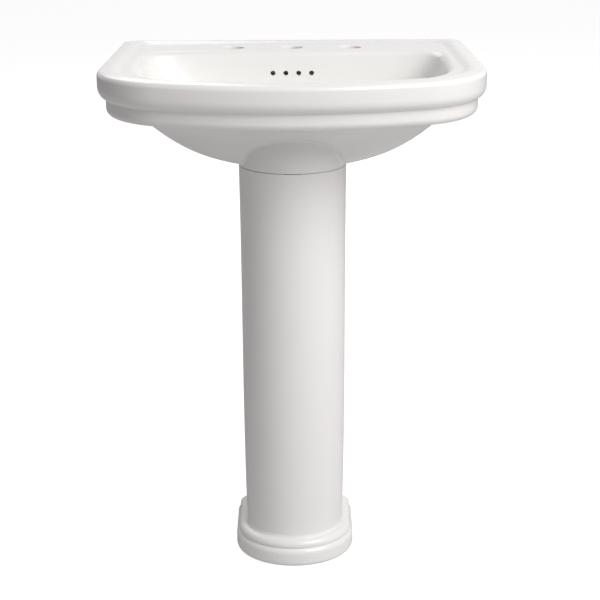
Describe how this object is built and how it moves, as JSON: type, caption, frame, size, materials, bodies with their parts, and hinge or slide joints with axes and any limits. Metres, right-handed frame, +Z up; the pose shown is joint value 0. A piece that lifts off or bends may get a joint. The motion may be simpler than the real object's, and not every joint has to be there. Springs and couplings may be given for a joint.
{
  "type": "pedestal sink",
  "caption": "White china pedestal sink with a stepped D-shaped rim, drilled faucet deck, overflow, hollow column on a moulded foot, trap, and a drain stopper that lifts.",
  "frame": {"origin": "on the floor, under the web of the pedestal's foot, on the axis of the drain and the round front of the column", "axes": "+Z up along the drain axis, +Y towards the wall, the front of the basin faces -Y, +X to the right seen from the front"},
  "size_m": [0.6208, 0.5189, 0.857],
  "materials": {
    "vitreous_china": "glossy white glaze",
    "chrome_plate": "polished chrome plate on brass",
    "brass": "machined, unplated",
    "stainless_steel": "drawn bar",
    "black_rubber": "moulded, matt",
    "white_rubber": "moulded, matt",
    "nylon": "moulded, natural"
  },
  "bodies": {
    "sink": {"basin": "vitreous_china", "pedestal": "vitreous_china", "seat_pads": "black_rubber", "drain_body": "chrome_plate", "flange_seal": "white_rubber", "drain_gasket": "black_rubber", "drain_washer": "nylon", "drain_locknut": "brass", "stem_guide": "nylon", "stem_ring": "black_rubber", "tailpiece": "chrome_plate", "tailpiece_seal": "black_rubber", "trap_inlet_nut": "chrome_plate", "trap_inlet_washer": "black_rubber", "trap_bend": "chrome_plate", "cleanout_plug": "chrome_plate", "cleanout_washer": "black_rubber", "trap_outlet_nut": "chrome_plate", "trap_outlet_washer": "black_rubber", "trap_arm": "chrome_plate", "wall_escutcheon": "chrome_plate"},
    "stopper": {"stopper_cap": "chrome_plate", "stopper_seal": "black_rubber", "stopper_stem": "stainless_steel", "stem_clip": "stainless_steel"}
  },
  "joints": [
    {"name": "stopper_lift", "type": "slide", "parent": "sink", "child": "stopper", "axis": [0, 0, 1], "range_m": [0, 0.01]}
  ]
}
